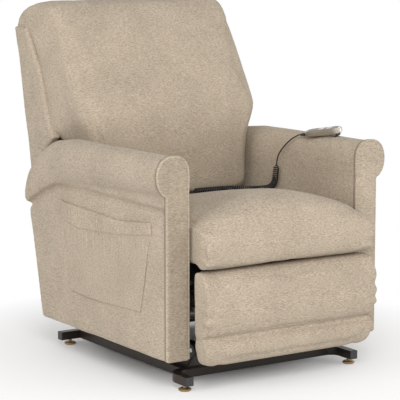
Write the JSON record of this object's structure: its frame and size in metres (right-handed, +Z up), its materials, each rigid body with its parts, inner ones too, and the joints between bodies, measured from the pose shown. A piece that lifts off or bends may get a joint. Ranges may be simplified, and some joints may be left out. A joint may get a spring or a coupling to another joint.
{
  "type": "lift recliner chair",
  "caption": "Upholstered recliner chair with rolled arms on a powered steel lift base, with a folding footrest, a reclining back and a handset on a curly cord.",
  "frame": {"origin": "on the floor, under the middle of the chair at rest", "axes": "+Z up, the chair faces -Y, the sitter's left hand is at +X"},
  "size_m": [0.774, 1.0221, 1.042],
  "materials": {
    "fabric": "woven beige upholstery cloth with fine flecks",
    "steel": "satin dark bronze powder coat",
    "zinc": "zinc plated",
    "glide": "bronze coloured",
    "timber": "plain sawn plywood and hardwood",
    "black_plastic": "fine texture",
    "silver_plastic": "silver grey, satin",
    "cable": "smooth black cable sheath"
  },
  "bodies": {
    "base": {"base_front_tube": "steel", "base_rear_tube": "steel", "base_rails": "steel", "base_ears": "steel", "levelling_glides": "glide", "tube_end_caps": "black_plastic", "base_pivot_pins": "zinc", "actuator_anchor": "steel", "power_box": "black_plastic"},
    "lift_front": {"front_lift_links": "steel", "lift_torsion_tube": "steel"},
    "lift_rear": {"rear_lift_links": "steel"},
    "actuator": {"actuator_motor": "black_plastic", "actuator_tube": "zinc"},
    "push_rod": {"actuator_rod": "zinc"},
    "chair": {"carriage_plates": "steel", "carriage_cross_tubes": "steel", "chair_pivot_pins": "zinc", "mechanism_plates": "steel", "mechanism_bolts": "zinc", "seat_cross_tubes": "steel", "seat_frame": "timber", "seat_springs": "zinc", "right_arm_panel": "fabric", "left_arm_panel": "fabric", "right_arm_roll": "fabric", "left_arm_roll": "fabric", "right_arm_front": "fabric", "left_arm_front": "fabric", "side_pocket": "fabric", "rear_apron": "fabric", "seat_cushion": "fabric", "cord_clip": "black_plastic", "cord_lead": "cable", "cord_curls": "cable", "cord_tail": "cable"},
    "legrest_swing": {"legrest_swing_links": "steel", "legrest_cross_tube": "steel"},
    "legrest_reach": {"legrest_reach_links": "steel"},
    "legrest_control": {"legrest_control_links": "steel"},
    "footrest": {"footrest_brackets": "steel", "footrest_board": "timber", "footrest_pad": "fabric", "footrest_band": "fabric"},
    "back": {"back_brackets": "steel", "back_frame": "timber", "back_springs": "zinc", "right_back_side": "fabric", "left_back_side": "fabric", "outside_back": "fabric", "back_cushion": "fabric"},
    "handset": {"handset_lower_shell": "black_plastic", "handset_upper_shell": "silver_plastic", "handset_hook": "black_plastic", "handset_relief": "black_plastic"},
    "up_button": {"up_button": "silver_plastic"},
    "down_button": {"down_button": "silver_plastic"}
  },
  "joints": [
    {"name": "lift", "type": "hinge", "parent": "base", "child": "lift_front", "pos_m": [0, -0.33, 0.093], "axis": [1, 0, 0], "range_deg": [0, 60]},
    {"name": "chair_tilt", "type": "hinge", "parent": "lift_front", "child": "chair", "pos_m": [0, -0.054, 0.095], "axis": [1, 0, 0], "range_deg": [-37.8, 0]},
    {"name": "rear_link_turn", "type": "hinge", "parent": "base", "child": "lift_rear", "pos_m": [0, -0.24, 0.1], "axis": [1, 0, 0], "range_deg": [0, 54.6]},
    {"name": "actuator_swing", "type": "hinge", "parent": "base", "child": "actuator", "pos_m": [0, 0.245, 0.062], "axis": [1, 0, 0], "range_deg": [0, 1.91]},
    {"name": "rod_slide", "type": "slide", "parent": "actuator", "child": "push_rod", "axis": [0, -0.9795, 0.2014], "range_m": [0, 0.09]},
    {"name": "legrest_open", "type": "hinge", "parent": "chair", "child": "legrest_swing", "pos_m": [0, -0.2, 0.325], "axis": [-1, 0, 0], "range_deg": [0, 54.3]},
    {"name": "legrest_carry", "type": "hinge", "parent": "legrest_swing", "child": "legrest_reach", "pos_m": [0, -0.283, 0.132], "axis": [1, 0, 0], "range_deg": [0, 94.61]},
    {"name": "footrest_turn", "type": "hinge", "parent": "legrest_reach", "child": "footrest", "pos_m": [0, -0.41, 0.3], "axis": [-1, 0, 0], "range_deg": [0, 124.31]},
    {"name": "control_link_turn", "type": "hinge", "parent": "legrest_swing", "child": "legrest_control", "pos_m": [0, -0.31, 0.095], "axis": [1, 0, 0], "range_deg": [0, 104.41]},
    {"name": "back_recline", "type": "hinge", "parent": "chair", "child": "back", "pos_m": [0, 0.15, 0.38], "axis": [-1, 0, 0], "range_deg": [0, 40]},
    {"name": "handset_lift", "type": "slide", "parent": "chair", "child": "handset", "axis": [0, 0, 1], "range_m": [0, 0.06], "deforming": ["cord_tail"]},
    {"name": "up_button_press", "type": "slide", "parent": "handset", "child": "up_button", "axis": [0.2554, -0.1061, -0.961], "range_m": [0, 0.0015], "stiffness_N_per_m": 400, "springref_m": -0.003},
    {"name": "down_button_press", "type": "slide", "parent": "handset", "child": "down_button", "axis": [0.2554, -0.1061, -0.961], "range_m": [0, 0.0015], "stiffness_N_per_m": 400, "springref_m": -0.003}
  ],
  "couplings": [
    {"joint": "chair_tilt", "follows": "lift", "ratio": -0.6297},
    {"joint": "rear_link_turn", "follows": "lift", "ratio": 0.9098},
    {"joint": "actuator_swing", "follows": "lift", "ratio": 0.03168},
    {"joint": "rod_slide", "follows": "lift", "m_per_rad": 0.08593},
    {"joint": "legrest_carry", "follows": "legrest_open", "ratio": 1.7422},
    {"joint": "footrest_turn", "follows": "legrest_open", "ratio": 2.2891},
    {"joint": "control_link_turn", "follows": "legrest_open", "ratio": 1.9226}
  ]
}
